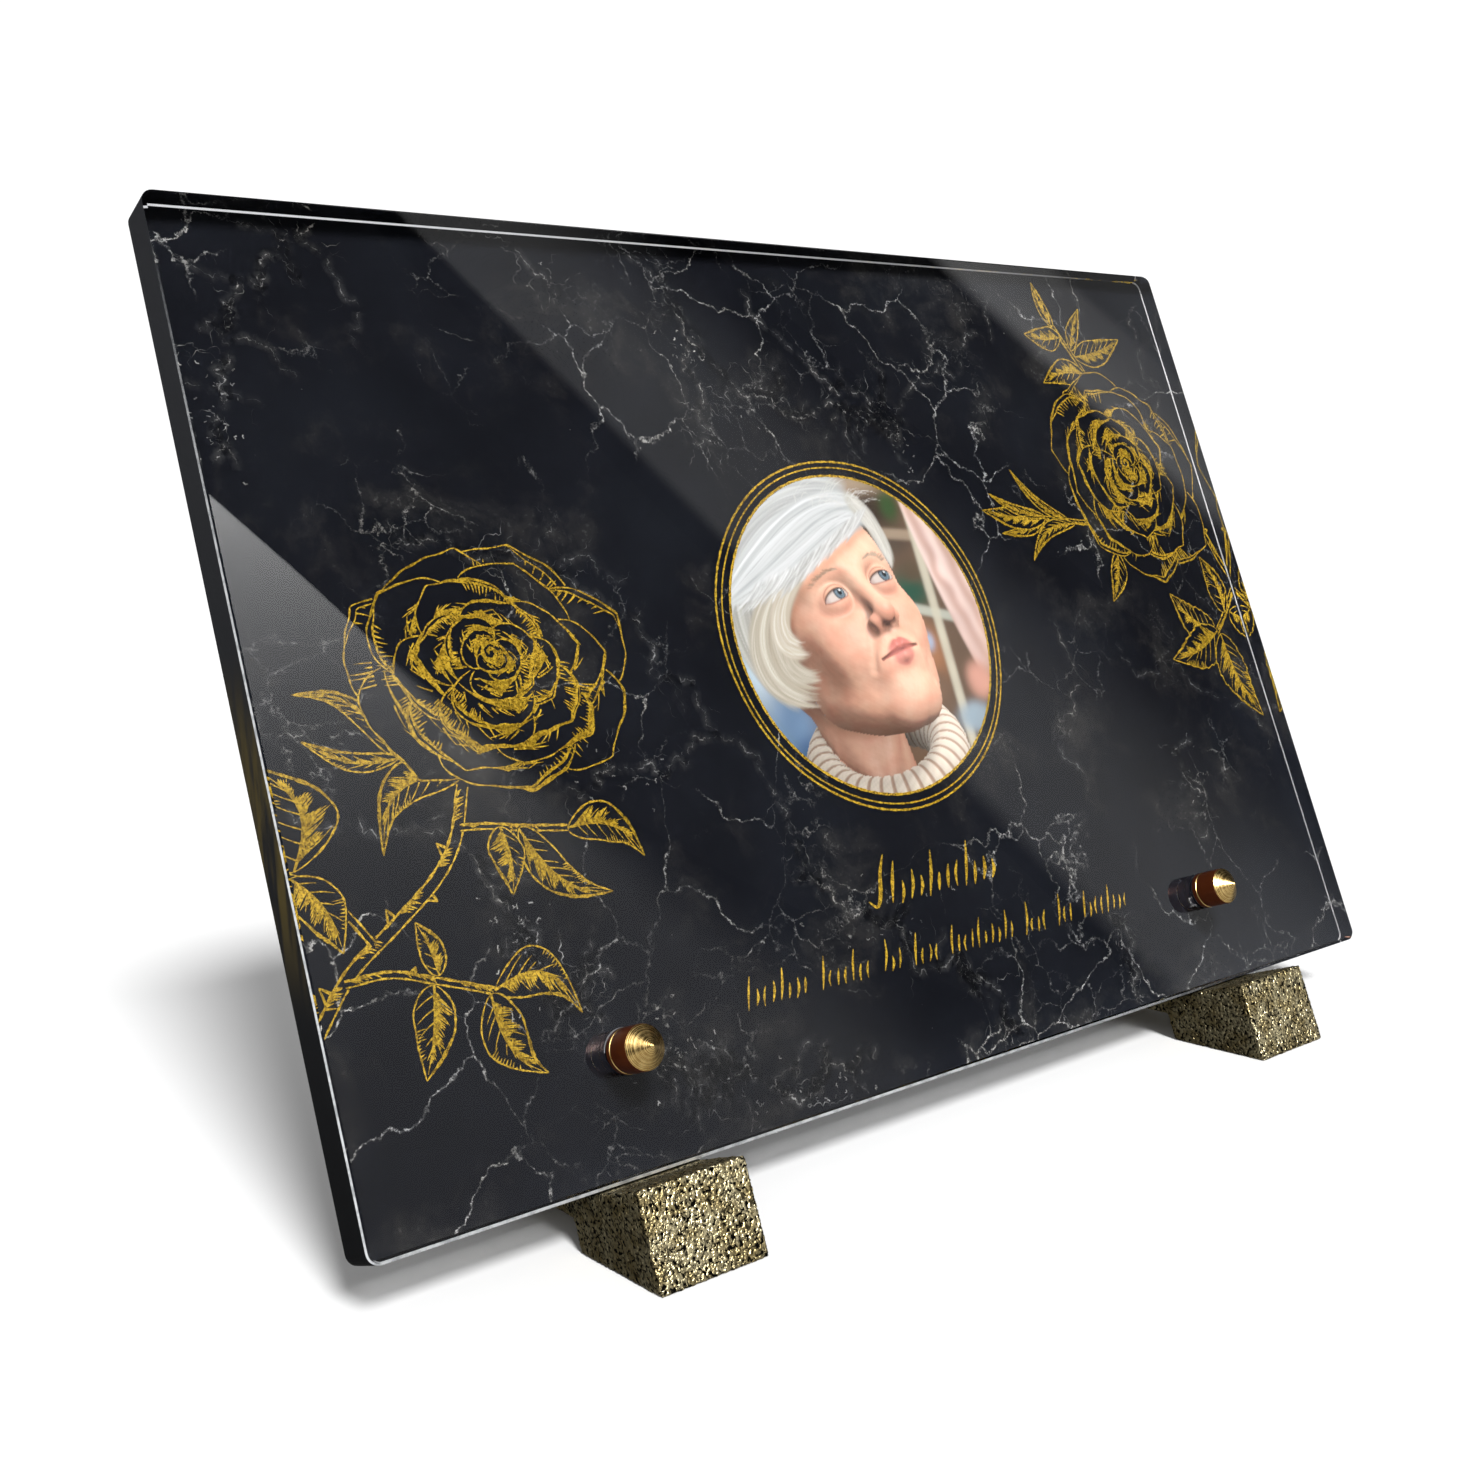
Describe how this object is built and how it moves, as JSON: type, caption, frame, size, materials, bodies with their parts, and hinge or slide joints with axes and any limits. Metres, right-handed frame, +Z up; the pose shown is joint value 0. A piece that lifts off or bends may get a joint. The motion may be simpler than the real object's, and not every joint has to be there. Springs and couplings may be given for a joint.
{
  "type": "memorial plaque",
  "caption": "Clear rectangular plaque with a print on its back, leaning back on a pair of cast feet and held by pointed cap nuts.",
  "frame": {"origin": "on the ground, at the middle of the whole object's width and depth", "axes": "+Z up, +X to the reader's right, the front faces -Y"},
  "size_m": [0.3, 0.091, 0.2039],
  "materials": {
    "printed_plate": "clear gloss over a dark print",
    "cast_bronze": "hammered, with darkened hollows",
    "turned_brass": "turned and polished"
  },
  "bodies": {
    "root": {"plate": "printed_plate", "left_foot": "cast_bronze", "right_foot": "cast_bronze", "left_stud": "turned_brass", "right_stud": "turned_brass", "left_cap_nut": "turned_brass", "right_cap_nut": "turned_brass"}
  },
  "joints": []
}
